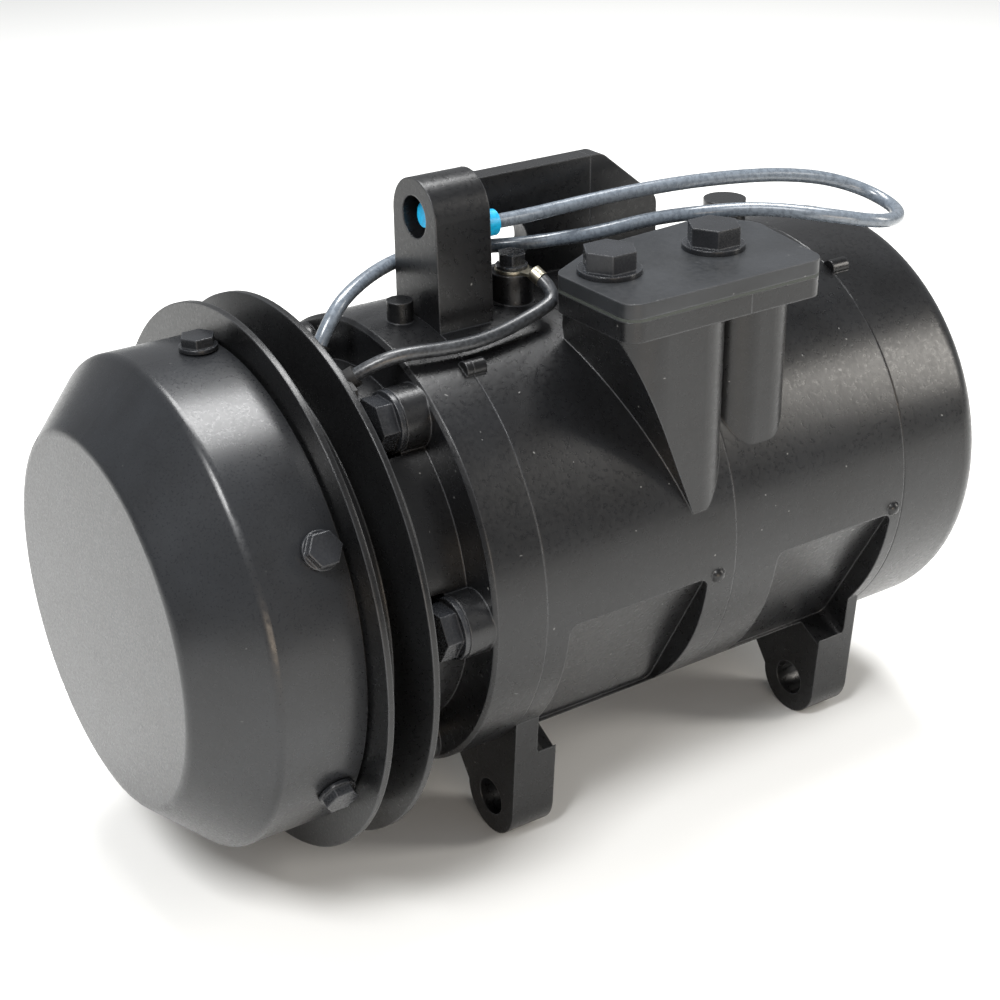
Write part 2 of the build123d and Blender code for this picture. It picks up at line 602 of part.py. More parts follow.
# ---- cylinder halves --------------------------------------------------------------------------------------
def ear(x0, side):
    """One lower ear: a round eye on a wedge that runs into the barrel."""
    eye = Vector(side * EAR_Y, EAR_Z)
    with BuildSketch(Plane.YZ.offset(x0)) as outline:
        with BuildLine():
            Polyline(
                (side * 14, -58), (side * 50, -36), (eye.X + side * EAR_RADIUS, EAR_Z),
                (eye.X - side * EAR_RADIUS, EAR_Z), close=True)
        make_face()
        with Locations((eye.X, eye.Y)):
            Circle(EAR_RADIUS)
    extrude(outline.sketch, amount=EAR_THICKNESS)


def port_block(x0, x1):
    """The part of the port tower that belongs to the casting between x0 and x1."""
    under = PORT_TOP - PORT_FLANGE
    lean = PORT_COLUMNS[0][0] + PORT_DEPTH * math.tan(math.radians(FLANK_ANGLE))
    with BuildSketch(Plane.XY.offset(under)) as flange:
        with BuildLine():
            Polyline(*PORT_OUTLINE, close=True)
        make_face()
        fillet(flange.vertices(), PORT_FILLET)
    with BuildPart() as tower:
        extrude(flange.sketch, amount=PORT_FLANGE)
        for start, stop, front, corner in PORT_COLUMNS:
            with BuildSketch(Plane.XY.offset(under)) as column:
                with Locations(((start + stop) / 2, (front + COLUMN_BACK_Y) / 2)):
                    RectangleRounded(stop - start, COLUMN_BACK_Y - front, corner)
            extrude(column.sketch, amount=-PORT_DEPTH)
        with BuildSketch(Plane.XZ) as flank:
            with BuildLine():
                Polyline(
                    (PORT_SPAN[0] - 5, PORT_TOP), (PORT_SPAN[0] - 5, under),
                    (PORT_COLUMNS[0][0], under), (lean, under - PORT_DEPTH),
                    (PORT_SPAN[1] + 5, under - PORT_DEPTH), (PORT_SPAN[1] + 5, PORT_TOP),
                    close=True)
            make_face()
        extrude(flank.sketch, amount=100, both=True, mode=Mode.INTERSECT)
        with Locations(((x0 + x1) / 2, 0, 0)):
            Box(x1 - x0, 400, 400, mode=Mode.INTERSECT)
    return tower.part


def cylinder_half(x0, side):
    """The casting shared by both halves; side is -1 for the front half and 1 for the rear."""
    x1 = x0 + BLOCK_HALF
    end = x0 if side < 0 else x1
    ring(x0, x1, 0, BODY_RADIUS)
    for ear_side in (-1, 1):
        ear(x0 if side < 0 else x1 - EAR_THICKNESS, ear_side)
    add(port_block(max(x0, PORT_SPAN[0]), min(x1, PORT_SPAN[1])))
    for angle in FLAT_ANGLES:
        y, z = around(1, angle)
        start = x0 + (7.5 if side < 0 else 16)
        stop = x1 - (9.5 if side < 0 else 4)
        with BuildSketch(Plane(origin=(0, FLAT_DISTANCE * y, FLAT_DISTANCE * z),
                               x_dir=(1, 0, 0), z_dir=(0, y, z))) as flat:
            with Locations(((start + stop) / 2, 0)):
                RectangleRounded(stop - start, FLAT_HEIGHT, 3)
        extrude(flat.sketch, amount=10, mode=Mode.SUBTRACT)
    inner_x = MID_X - side * -CHAMBER_HALF
    ring(min(MID_X, inner_x), max(MID_X, inner_x), 0, CHAMBER_RADIUS, Mode.SUBTRACT)
    seat = MID_X + side * THRUST_SEAT
    ring(min(MID_X, seat), max(MID_X, seat), 0, THRUST_RADIUS, Mode.SUBTRACT)
    ring(x0 - 1, x1 + 1, 0, SHAFT_R + 1, Mode.SUBTRACT)
    cup_seat = MID_X + side * (MID_X - SEAT_X)
    ring(min(end, cup_seat), max(end, cup_seat), 0, NEEDLE_CUP_R, Mode.SUBTRACT)
    for y, z in bore_places():
        rod(x0 - 1, x1 + 1, BORE_R, y, z, Mode.SUBTRACT)
    for k in range(3):
        y, z = around(40, 30 + 120 * k)
        rod(x0 - 1, x1 + 1, 5.5, y, z, Mode.SUBTRACT)
    bolt_holes(x0 - 1, x1 + 1)
    for ear_side in (-1, 1):
        rod(x0 - 1, x1 + 1, EAR_HOLE_R, ear_side * EAR_Y, EAR_Z, Mode.SUBTRACT)
    for x, y in PORT_BOLTS:
        post(x, y, PORT_TOP - 12, PORT_TOP + 1, BOLT_R, Mode.SUBTRACT)
    post(SUCTION_PORT[0], SUCTION_PORT[1], 22, PORT_TOP + 1, SUCTION_PORT[2], Mode.SUBTRACT)
    post(DISCHARGE_PORT[0], DISCHARGE_PORT[1], 52, PORT_TOP + 1, DISCHARGE_PORT[2],
         Mode.SUBTRACT)


def ring_groove(face_x, side):
    """Groove for an O-ring, cut into the face at face_x from its outside."""
    depth_x = face_x + side * 2 * (RING_R + SOFT_GAP)
    ring(min(face_x, depth_x), max(face_x, depth_x), RING_CIRCLE - RING_R - SOFT_GAP,
         RING_CIRCLE + RING_R + SOFT_GAP, Mode.SUBTRACT)


with BuildPart() as front_cylinder:
    cylinder_half(FRONT_JOINT_X, -1)
    prism(FRONT_JOINT_X, FRONT_JOINT_X + LUG_THICKNESS, [
        (LUG_Y - LUG_RADIUS - 1, 60), (LUG_Y + LUG_RADIUS, 60), (LUG_Y + LUG_RADIUS, LUG_Z),
        (LUG_Y - LUG_RADIUS, LUG_Z)])
    rod(FRONT_JOINT_X, FRONT_JOINT_X + LUG_THICKNESS, LUG_RADIUS, LUG_Y, LUG_Z)
    with BuildSketch(Plane.XZ.offset(-RIB_Y[0])) as rib:
        with BuildLine():
            Polyline(
                (FRONT_JOINT_X + RIB_START, 60), (FRONT_JOINT_X + RIB_START, RIB_TOP),
                (MID_X, RIB_TOP),
                (MID_X, 60), close=True)
        make_face()
    extrude(rib.sketch, amount=RIB_Y[0] - RIB_Y[1])
    with BuildSketch(Plane.XZ.offset(-RIB_Y[0] + 1)) as window:
        with Locations((FRONT_JOINT_X + LUG_THICKNESS + 12.6, 75.5)):
            SlotOverall(25, 15)
    extrude(window.sketch, amount=RIB_Y[0] - RIB_Y[1] - 2, mode=Mode.SUBTRACT)
    rod(FRONT_JOINT_X - 1, FRONT_JOINT_X + LUG_THICKNESS + 1, LUG_HOLE_R, LUG_Y, LUG_Z,
        Mode.SUBTRACT)
    post(BOSS[0], BOSS[1], 58, BOSS_TOP, BOSS_RADIUS)
    post(BOSS[0], BOSS[1], BOSS_TOP - 10, BOSS_TOP + 1, EARTH_R, Mode.SUBTRACT)
    rod(FRONT_JOINT_X, FRONT_JOINT_X + 4, NUB_R, *around(BODY_RADIUS, 117))
    sphere_at((MID_X - 6, *around(BODY_RADIUS - 0.8, 185.5)), NUB_R)
    ring_groove(FRONT_JOINT_X, 1)
    ring_groove(MID_X, -1)
save("front_cylinder", front_cylinder.part)

RIB_END_X = FRONT_JOINT_X + RIB_LENGTH
with BuildPart() as rear_cylinder:
    cylinder_half(MID_X, 1)
    with BuildSketch(Plane.XZ.offset(-RIB_Y[0])) as rear_rib:
        with BuildLine():
            FilletPolyline(
                (MID_X, RIB_TOP), (RIB_END_X - RIB_SLOPE[0], RIB_TOP),
                (RIB_END_X, RIB_SLOPE[1]), (RIB_END_X, 60), radius=5)
            Polyline((RIB_END_X, 60), (MID_X, 60), (MID_X, RIB_TOP))
        make_face()
    extrude(rear_rib.sketch, amount=RIB_Y[0] - RIB_Y[1])
    post(REAR_BOSS[0], REAR_BOSS[1], 60, REAR_BOSS[2], REAR_BOSS[3])
    sphere_at((REAR_JOINT_X - 3.5, *around(BODY_RADIUS - 0.8, 184)), NUB_R)
    ring_groove(REAR_JOINT_X, -1)
save("rear_cylinder", rear_cylinder.part)

# ---- heads -------------------------------------------------------------------------------------------------
FRONT_FLOOR_X = FRONT_JOINT_X - STACK
with BuildPart() as front_housing:
    turn([
        (NOSE_FRONT_X, 16), (NOSE_FRONT_X, BEARING_BORE), (BEARING_REAR_X + 0.2, BEARING_BORE),
        (BEARING_REAR_X + 0.2, COIL_SEAT_R), (BARREL_FRONT_X, COIL_SEAT_R),
        (BARREL_FRONT_X, BARREL_RADIUS), (HEAD_FACE_X, BARREL_RADIUS),
        (HEAD_FACE_X, BODY_RADIUS - 1), (HEAD_FACE_X + 1, BODY_RADIUS),
        (FRONT_JOINT_X, BODY_RADIUS), (FRONT_JOINT_X, RECESS_RADIUS),
        (FRONT_FLOOR_X, RECESS_RADIUS), (FRONT_FLOOR_X, 13), (2, 13), (2, 16)])
    ring(26, FRONT_FLOOR_X + 1, 17, 31, Mode.SUBTRACT)
    ring(26, FRONT_FLOOR_X + 1, 36, 43, Mode.SUBTRACT)
    ring(HEAD_FACE_X + WALL, FRONT_FLOOR_X + 1, 36, 48, Mode.SUBTRACT)
    for y, z in bolt_places():
        rod(BARREL_FRONT_X - 1, BOLT_SEAT_X, BOLT_WASHER_R + 1, y, z, Mode.SUBTRACT)
        rod(BOLT_SEAT_X, HEAD_FACE_X + 1, BOLT_BOSS_R, y, z)
    ring(BEARING_FRONT_X - SNAP - 0.05, BEARING_FRONT_X - 0.05, BEARING_BORE - 0.9,
         BEARING_BORE + 1, Mode.SUBTRACT)
    ring(CAN_REAR_X - 2.5 - SNAP, CAN_REAR_X - 2.5, COIL_SEAT_R - 1, COIL_SEAT_R + 1,
         Mode.SUBTRACT)
    ring(-10.4, -9.1, 15, 17, Mode.SUBTRACT)
    rod(FRONT_JOINT_X - 2, FRONT_JOINT_X, NUB_R, *around(BODY_RADIUS, 117))
    post(HEAD_BOSS[0], HEAD_BOSS[1], 60, HEAD_BOSS[2], HEAD_BOSS[3])
    bolt_holes(BARREL_FRONT_X, FRONT_JOINT_X + 1)
    ring(FRONT_FLOOR_X, FRONT_JOINT_X + 1, 0, RECESS_RADIUS, Mode.SUBTRACT)
save("front_housing", front_housing.part)

REAR_FLOOR_X = REAR_JOINT_X + STACK
with BuildPart() as rear_housing:
    with BuildSketch(Plane.XZ):
        with BuildLine():
            FilletPolyline(
                (REAR_JOINT_X, 0), (REAR_JOINT_X, BODY_RADIUS), (REAR_END_X, BODY_RADIUS),
                (REAR_END_X, 0), radius=[0.5, 8])
            Line((REAR_END_X, 0), (REAR_JOINT_X, 0))
        make_face()
    revolve(axis=Axis.X)
    ring(REAR_JOINT_X - 1, REAR_FLOOR_X, 0, RECESS_RADIUS, Mode.SUBTRACT)
    ring(REAR_FLOOR_X - 1, REAR_END_X - WALL - 3, 0, 31, Mode.SUBTRACT)
    ring(REAR_FLOOR_X - 1, REAR_END_X - WALL - 3, 36, 48, Mode.SUBTRACT)
    for y, z in bolt_places():
        rod(REAR_JOINT_X - 1, REAR_END_X - 6, BOLT_R + SEAT_GAP, y, z, Mode.SUBTRACT)
    rod(REAR_JOINT_X, REAR_JOINT_X + 6, NUB_R, *around(BODY_RADIUS, 115))
    ring(REAR_JOINT_X - 1, REAR_FLOOR_X, 0, RECESS_RADIUS, Mode.SUBTRACT)
save("rear_housing", rear_housing.part)

with BuildPart() as snap_rings:
    ring(BEARING_FRONT_X - SNAP, BEARING_FRONT_X - 0.1, BEARING_BORE - 0.85, BEARING_BORE + 2.2)
    ring(CAN_REAR_X - 2.5 - SNAP + 0.05, CAN_REAR_X - 2.55, COIL_SEAT_R - 0.95,
         COIL_SEAT_R + 2.5)
    ring(-10.35, -9.15, 13.5, 16.9)
save("snap_rings", snap_rings.part)

with BuildPart() as seal:
    ring(-9, -0.5, SHAFT_R + RUN_GAP, 16 - SEAT_GAP)
    ring(-7.5, -2, SHAFT_R + RUN_GAP + 1.5, 13.5, Mode.SUBTRACT)
    ring(-3, 0, SHAFT_R - 1, 14, Mode.SUBTRACT)
save("shaft_seal", seal.part)

with BuildPart() as o_rings:
    for x in (FRONT_JOINT_X + RING_R + SOFT_GAP, MID_X - RING_R - SOFT_GAP,
              REAR_JOINT_X - RING_R - SOFT_GAP):
        with BuildSketch(Plane.XZ) as section:
            with Locations((x, RING_CIRCLE)):
                Circle(RING_R)
        revolve(section.sketch, axis=Axis.X)
save("body_o_rings", o_rings.part)


def valve_holes(x0, x1, shaft_hole):
    """Gas ports over each bore, the bolt holes and, at the front, the shaft hole."""
    for y, z in bore_places():
        for shift in (-6, 6):
            rod(x0 - 1, x1 + 1, 2.5, y * 0.8 + shift * z / 38, z * 0.8 - shift * y / 38,
                Mode.SUBTRACT)
            rod(x0 - 1, x1 + 1, 3.0, y * 1.2 + shift * z / 38, z * 1.2 - shift * y / 38,
                Mode.SUBTRACT)
    bolt_holes(x0 - 1, x1 + 1)
    if shaft_hole:
        ring(x0 - 1, x1 + 1, 0, SHAFT_R + 1.5, Mode.SUBTRACT)


def stack_plate(name, front_start, thickness, cut):
    """One layer of both valve stacks; front_start is its distance from the front joint."""
    with BuildPart() as layer:
        for side, joint in ((-1, FRONT_JOINT_X), (1, REAR_JOINT_X)):
            near = joint + side * (front_start + SEAT_GAP / 2)
            far = joint + side * (front_start + thickness - SEAT_GAP / 2)
            cut(min(near, far), max(near, far), side < 0)
    save(name, layer.part)


def suction_layer(x0, x1, at_front):
    ring(x0, x1, 0, RECESS_RADIUS - 0.2)
    bolt_holes(x0 - 1, x1 + 1)
    with BuildSketch(Plane.YZ.offset(x0 - 1)) as tongues:
        for angle, (y, z) in zip(BORE_ANGLES, bore_places()):
            SlotArc(CenterArc((y, z), 11, angle - 130, 260), height=1.2)
    extrude(tongues.sketch, amount=x1 - x0 + 2, mode=Mode.SUBTRACT)
    if at_front:
        ring(x0 - 1, x1 + 1, 0, SHAFT_R + 1.5, Mode.SUBTRACT)


def discharge_layer(x0, x1, at_front):
    ring(x0, x1, SHAFT_R + 2.5, SHAFT_R + 8)
    for angle in BORE_ANGLES:
        y, z = around(1, angle)
        with BuildSketch(Plane.YZ.offset(x0)) as petal:
            with Locations(Location((30 * y, 30 * z, 0), (0, 0, angle))):
                SlotOverall(34, 15)
        extrude(petal.sketch, amount=x1 - x0)
    ring(x0 - 1, x1 + 1, 0, SHAFT_R + 2.5, Mode.SUBTRACT)


def gasket_layer(x0, x1, at_front):
    ring(x0, x1, 49, RECESS_RADIUS - 0.2)
    ring(x0, x1, 31.5, 35.5)
    bolt_holes(x0 - 1, x1 + 1)


for plate_name, joint, side in (("front_valve_plate", FRONT_JOINT_X, -1),
                                ("rear_valve_plate", REAR_JOINT_X, 1)):
    near = joint + side * (REED + SEAT_GAP / 2)
    far = joint + side * (REED + VALVE_PLATE - SEAT_GAP / 2)
    with BuildPart() as valve_plate:
        ring(min(near, far), max(near, far), 0, RECESS_RADIUS - 0.2)
        valve_holes(min(near, far), max(near, far), side < 0)
    save(plate_name, valve_plate.part)
stack_plate("suction_reeds", 0, REED, suction_layer)
stack_plate("discharge_reeds", REED + VALVE_PLATE, REED, discharge_layer)
stack_plate("head_gaskets", 2 * REED + VALVE_PLATE, GASKET, gasket_layer)

with BuildPart() as through_bolts:
    for y, z in bolt_places():
        rod(BOLT_SEAT_X - BOLT_HEAD, REAR_END_X - 8, BOLT_R, y, z)
        rod(BOLT_SEAT_X - 1.5, BOLT_SEAT_X - SEAT_GAP, BOLT_WASHER_R, y, z)
        hexagon(Plane.YZ.offset(BOLT_SEAT_X - BOLT_HEAD - 1), y, z, BOLT_FLATS, BOLT_HEAD)
save("through_bolts", through_bolts.part)

# ---- shipping cover on the ports -----------------------------------------------------------------------------


def port_sheet(z0, thickness):
    with BuildSketch(Plane.XY.offset(z0)) as sheet:
        with BuildLine():
            Polyline(*PORT_OUTLINE, close=True)
        make_face()
        fillet(sheet.vertices(), PORT_FILLET)
        with Locations(*PORT_BOLTS):
            Circle(BOLT_R + BOLT_GAP, mode=Mode.SUBTRACT)
    extrude(sheet.sketch, amount=thickness)


with BuildPart() as port_gasket:
    port_sheet(PORT_TOP + SEAT_GAP, PORT_GASKET - 2 * SEAT_GAP)
    for x, y, radius in (SUCTION_PORT, DISCHARGE_PORT):
        post(x, y, PORT_TOP - 1, PORT_TOP + 2, radius + 1, Mode.SUBTRACT)
save("port_gasket", port_gasket.part)

COVER_Z = PORT_TOP + PORT_GASKET
with BuildPart() as shipping_cover:
    port_sheet(COVER_Z, COVER_PLATE)
save("shipping_cover", shipping_cover.part)

with BuildPart() as shipping_bolts:
    for x, y in PORT_BOLTS:
        top = COVER_Z + COVER_PLATE
        post(x, y, PORT_TOP - 10, top + 1, BOLT_R - SEAT_GAP)
        post(x, y, top + SEAT_GAP, top + 1.4, 8.6)
        hexagon(Plane.XY.offset(top + 1.3), x, y, BOLT_FLATS, BOLT_HEAD)
save("shipping_cover_bolts", shipping_bolts.part)

# ---- earth screw, terminals and leads ----------------------------------------------------------------------------
TAG = 0.9
TAG_WIDTH = 4.4
TAG_REACH = 5.2
CRIMP_LENGTH = 3.2
LEAD_END = Vector(*GROUND_ROUTE[-1])
CRIMP = (LEAD_END - Vector(*GROUND_ROUTE[-2])).normalized()
TAG_ANGLE = math.atan2(LEAD_END.Y - BOSS[1], LEAD_END.X - BOSS[0])
with BuildPart() as ring_terminal:
    post(BOSS[0], BOSS[1], BOSS_TOP + SEAT_GAP, BOSS_TOP + TAG, BOSS_RADIUS - 1.2)
    with BuildSketch(Plane.XY.offset(BOSS_TOP + SEAT_GAP)) as tongue:
        with Locations(Location((BOSS[0] + TAG_REACH * math.cos(TAG_ANGLE),
                                 BOSS[1] + TAG_REACH * math.sin(TAG_ANGLE), 0),
                                (0, 0, math.degrees(TAG_ANGLE)))):
            Rectangle(TAG_WIDTH, TAG_WIDTH)
    extrude(tongue.sketch, amount=TAG - SEAT_GAP)
    with BuildSketch(Plane(origin=LEAD_END, z_dir=CRIMP)) as crimp:
        Circle(GROUND_R + 0.3)
    extrude(crimp.sketch, amount=CRIMP_LENGTH)
    post(BOSS[0], BOSS[1], BOSS_TOP - 1, BOSS_TOP + 3, EARTH_R + SOFT_GAP, Mode.SUBTRACT)
save("ring_terminal", ring_terminal.part)

with BuildPart() as earth_screw:
    head_z = BOSS_TOP + TAG + SEAT_GAP
    post(BOSS[0], BOSS[1], BOSS_TOP - 8, head_z + 1, EARTH_R - SEAT_GAP)
    post(BOSS[0], BOSS[1], head_z, head_z + 1.0, 4.4)
    hexagon(Plane.XY.offset(head_z + 0.9), BOSS[0], BOSS[1], 7.0, 3.4)
save("earth_screw", earth_screw.part)

with BuildPart() as grommet:
    ring(CAN_REAR_X - 5, CAN_REAR_X, CAN_OUTER + SEAT_GAP, CAN_OUTER + 5)
    prism(CAN_REAR_X - 6, CAN_REAR_X + 1, [
        (3.0, 40), (3.0, 75), (-24.0, 75), (-24.0, 40)], Mode.INTERSECT)
    for route, wire_radius in ((POWER_ROUTE, POWER_R), (GROUND_ROUTE, GROUND_R)):
        exit_point = Vector(*route[0])
        direction = (Vector(*route[1]) - exit_point).normalized()
        with BuildSketch(Plane(origin=exit_point, z_dir=direction * -1)):
            Circle(wire_radius + 0.9)
        extrude(amount=5)
save("coil_grommet", grommet.part)

PLUG_R = 3.6
PLUG_LENGTH = 17.2
PLUG_TILT = 8.0          # the parked plug lies aslant in the lug's bore
PLUG_CENTRE = (59.5, LUG_Y - 0.4, LUG_Z - 0.8)
COLLAR_LENGTH = 6.5
with BuildPart() as connector:
    with Locations(Location(PLUG_CENTRE, (0, 90 + PLUG_TILT, 0))):
        Cylinder(PLUG_R, PLUG_LENGTH)
    collar_end = Vector(*POWER_ROUTE[-1])
    with BuildSketch(Plane(origin=collar_end,
                           z_dir=collar_end - Vector(*POWER_ROUTE[-2]))) as collar:
        Circle(PLUG_R)
    extrude(collar.sketch, amount=COLLAR_LENGTH)
save("power_connector", connector.part)


def lead(name, route, wire_radius):
    """A lead along its route, with each bend as round as its two runs allow."""
    points = [Vector(*point) for point in route]
    runs = [(after - before).length for before, after in zip(points, points[1:])]
    radii = []
    for before, here, after in zip(points, points[1:], points[2:]):
        half_turn = math.radians((here - before).get_angle(after - here)) / 2
        shorter = min((here - before).length, (after - here).length)
        radii.append(0.45 * shorter / math.tan(half_turn))
    with BuildPart() as wire:
        with BuildLine() as path:
            FilletPolyline(*points, radius=radii)
        start = Plane(origin=points[0], z_dir=points[1] - points[0])
        with BuildSketch(start):
            Circle(wire_radius)
        sweep(path=path.line)
    save(name, wire.part)
    print(name, "runs", [round(run, 1) for run in runs])
    print(name, "bend radii", [round(radius, 1) for radius in radii])
    length = sum(edge.length for edge in path.edges())
    print(name, "volume", round(wire.part.volume, 1), "section by length",
          round(math.pi * wire_radius ** 2 * length, 1))


lead("power_lead", POWER_ROUTE, POWER_R)
lead("ground_lead", GROUND_ROUTE, GROUND_R)
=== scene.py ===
# %% [markdown]
# # A belt-driven refrigerant compressor, rebuilt and black as it left the paint booth
# The real machine is a row of aluminium castings bolted end to end, with a pulley, a
# magnetic clutch under a pressed steel dust cover, and two leads from the clutch coil.
# The solids come ready made from the CAD model, so this lesson draws the two flexible
# leads, gives every solid its finish, and lights the whole for one clear view.

# %% Load the fixed frame
import json
import math
import bpy
from mathutils import Matrix, Vector


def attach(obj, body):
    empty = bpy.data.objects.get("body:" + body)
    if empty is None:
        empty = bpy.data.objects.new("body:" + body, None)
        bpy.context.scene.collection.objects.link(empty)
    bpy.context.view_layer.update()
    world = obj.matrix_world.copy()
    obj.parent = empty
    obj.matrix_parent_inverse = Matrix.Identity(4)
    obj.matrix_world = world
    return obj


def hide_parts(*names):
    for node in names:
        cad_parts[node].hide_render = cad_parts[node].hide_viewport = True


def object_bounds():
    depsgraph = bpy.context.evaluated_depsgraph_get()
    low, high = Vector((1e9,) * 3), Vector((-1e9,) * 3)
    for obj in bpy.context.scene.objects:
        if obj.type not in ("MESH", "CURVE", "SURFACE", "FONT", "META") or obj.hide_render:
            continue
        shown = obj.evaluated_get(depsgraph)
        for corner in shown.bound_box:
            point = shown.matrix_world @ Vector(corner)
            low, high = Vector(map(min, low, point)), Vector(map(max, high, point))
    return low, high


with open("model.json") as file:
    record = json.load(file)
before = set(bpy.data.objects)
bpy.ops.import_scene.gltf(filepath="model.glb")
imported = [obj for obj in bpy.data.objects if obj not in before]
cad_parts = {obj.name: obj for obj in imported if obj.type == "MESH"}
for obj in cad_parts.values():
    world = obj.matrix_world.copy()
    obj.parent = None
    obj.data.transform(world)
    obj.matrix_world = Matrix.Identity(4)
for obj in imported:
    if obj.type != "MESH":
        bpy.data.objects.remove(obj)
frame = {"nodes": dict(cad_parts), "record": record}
cad_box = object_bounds()
nodes = frame["nodes"]
mm = 0.001

# %% [markdown]
# ## The camera
# The view looks down on the clutch end and the near side. A long lens keeps the pulley
# from swelling. The camera is turned by its bearing, its height angle and a slight roll,
# so the three angles can be read and changed one at a time.

# %% Place the camera
VIEW_AZIMUTH = -33.87
VIEW_ELEVATION = 25.88
VIEW_ROLL = -0.72
VIEW_PLACE = Vector((-0.20223, -0.41558, 0.24262))
FOCAL_SHARE = 1.901           # focal length over the sensor's width
SENSOR_MM = 36.0


def place_camera():
    """Turns the camera level towards the machine, then rolls it about its own axis."""
    azimuth, elevation = math.radians(VIEW_AZIMUTH), math.radians(VIEW_ELEVATION)
    back = Vector((math.sin(azimuth) * math.cos(elevation),
                   -math.cos(azimuth) * math.cos(elevation), math.sin(elevation)))
    right = (-back).cross(Vector((0, 0, 1))).normalized()
    up = back.cross(right)
    roll = math.radians(VIEW_ROLL)
    level = Matrix((right, up, back)).transposed()
    turned = level @ Matrix.Rotation(roll, 3, "Z")
    lens = bpy.data.cameras.new("camera")
    lens.sensor_fit = "HORIZONTAL"
    lens.sensor_width = SENSOR_MM
    lens.lens = FOCAL_SHARE * SENSOR_MM
    lens.clip_start = 0.01
    viewer = bpy.data.objects.new("camera", lens)
    bpy.context.scene.collection.objects.link(viewer)
    viewer.matrix_world = Matrix.Translation(VIEW_PLACE) @ turned.to_4x4()
    bpy.context.scene.camera = viewer
    return viewer


camera = place_camera()
print("camera looks along", [round(v, 3) for v in -camera.matrix_world.col[2].xyz])

# %% [markdown]
# ## The two leads
# The coil has a long supply lead that ends in a moulded plug, parked in the upper lug,
# and a short earth lead under a screw on the casing. Each is one smooth spline through
# a few chosen points. The supply lead is springy sleeved wire, so its loop stands up
# behind the port flange by itself, held at the grommet and at the plug. The thickness
# sits in each point's own radius and the bevel depth is one, because the box that
# Blender works out for a curve grows by those radii.

# %% Draw the leads
SUPPLY_RADIUS = 2.0 * mm
EARTH_RADIUS = 1.9 * mm
SUPPLY_ROUTE = [
    (19.4, -1.4, 62.0), (22.4, -0.9, 66.8), (29.4, 2.4, 71.8), (42.5, 9.2, 74.2),
    (56.5, 14.8, 74.6), (70.5, 13.0, 74.6), (81.5, 4.0, 75.6), (91.5, -3.5, 77.0),
    (104.5, -9.6, 78.6), (120.5, -11.4, 79.8), (136.5, -13.6, 79.4), (150.5, -25.6, 81.2),
    (163.5, -40.5, 80.2), (176.5, -46.3, 77.4), (189.0, -42.0, 75.4), (195.6, -32.0, 75.4),
    (193.0, -22.5, 78.4), (182.0, -17.4, 82.6), (167.0, -14.8, 85.6), (151.0, -12.8, 87.2),
    (135.0, -10.6, 87.9), (119.0, -8.0, 87.6), (104.0, -6.0, 86.9), (92.0, -5.0, 86.3),
    (82.0, -5.0, 86.1), (72.0, -5.4, 86.5)]
EARTH_ROUTE = [
    (20.0, -19.1, 59.0), (24.6, -21.7, 62.2), (32.5, -24.4, 63.8), (43.0, -25.8, 63.0),
    (53.0, -26.0, 62.8), (62.0, -24.9, 63.5), (69.5, -23.6, 64.6), (76.0, -22.6, 65.9),
    (80.5, -21.4, 67.2), (81.4, -18.2, 70.0), (80.6, -15.8, 71.4)]


def draw_lead(name, route, radius):
    """A round lead along a NURBS spline with the route as its control points."""
    line = bpy.data.curves.new(name, "CURVE")
    line.dimensions = "3D"
    line.resolution_u = 10
    line.bevel_depth = 1.0
    line.bevel_resolution = 5
    line.use_fill_caps = True
    spline = line.splines.new("NURBS")
    spline.points.add(len(route) - 1)
    for point, place in zip(spline.points, route):
        point.co = (*(Vector(place) * mm), 1)
        point.radius = radius
    spline.order_u = 3
    spline.use_endpoint_u = True
    lead = bpy.data.objects.new(name, line)
    bpy.context.scene.collection.objects.link(lead)
    return lead


supply_lead = draw_lead("supply_lead", SUPPLY_ROUTE, SUPPLY_RADIUS)
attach(supply_lead, "casing")
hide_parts("power_lead")
earth_lead = draw_lead("earth_lead", EARTH_ROUTE, EARTH_RADIUS)
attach(earth_lead, "casing")
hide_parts("ground_lead")
print("leads drawn with", len(SUPPLY_ROUTE), "and", len(EARTH_ROUTE), "points")

# %% [markdown]
# ## Colour and nodes
# Paint and metal colours are easiest to choose as sRGB hex codes, but the shader wants
# linear light, so one function turns one into the other. A second adds a node, sets
# its options and fills or links its sockets, which keeps each recipe short.

# %% Two helpers for materials
def linear(code):
    """An sRGB hex code as a linear colour with full alpha."""
    parts = [int(code[i:i + 2], 16) / 255 for i in (0, 2, 4)]
    return [c / 12.92 if c <= 0.04045 else ((c + 0.055) / 1.055) ** 2.4 for c in parts] + [1]


def add(tree, kind, sockets=None, **options):
    """A shader node with its own options, its sockets filled with values or links."""
    made = tree.nodes.new(kind)
    for option, value in options.items():
        setattr(made, option, value)
    for key, value in (sockets or {}).items():
        if isinstance(value, bpy.types.NodeSocket):
            tree.links.new(value, made.inputs[key])
        else:
            made.inputs[key].default_value = value
    return made


def per_metre(size_mm):
    """The texture scale that gives a pattern of this size."""
    return 1000 / size_mm


print("black paint in linear light", [round(c, 4) for c in linear("17181a")[:3]])

# %% [markdown]
# ## Black paint
# Every outer casting and pressing is sprayed black in one go, bolts and all. On rough
# cast aluminium the film follows the sand grain, on pressed steel it lies smooth with
# a fine orange peel, and dust settles in it as pale specks. Edges wear thin first: the
# Bevel node finds them, and it also rounds them so that they catch the light. A thin
# film on dark primer reflects a little less than bare varnish, so its specular level
# stays under the usual 0.5.

# %% The recipe for paint
EDGE_RADIUS = 0.7 * mm
CLOUD_MM = 24.0               # slow change of film thickness
PEEL_MM = 5.0                 # waves of the orange peel
DUST_SPACING_MM = 6.5
DUST_DRIFT_MM = 9.0           # over this distance the specks stray from even spacing
DUST_STRAY = 8 * mm
PAINT_SPECULAR = 0.35


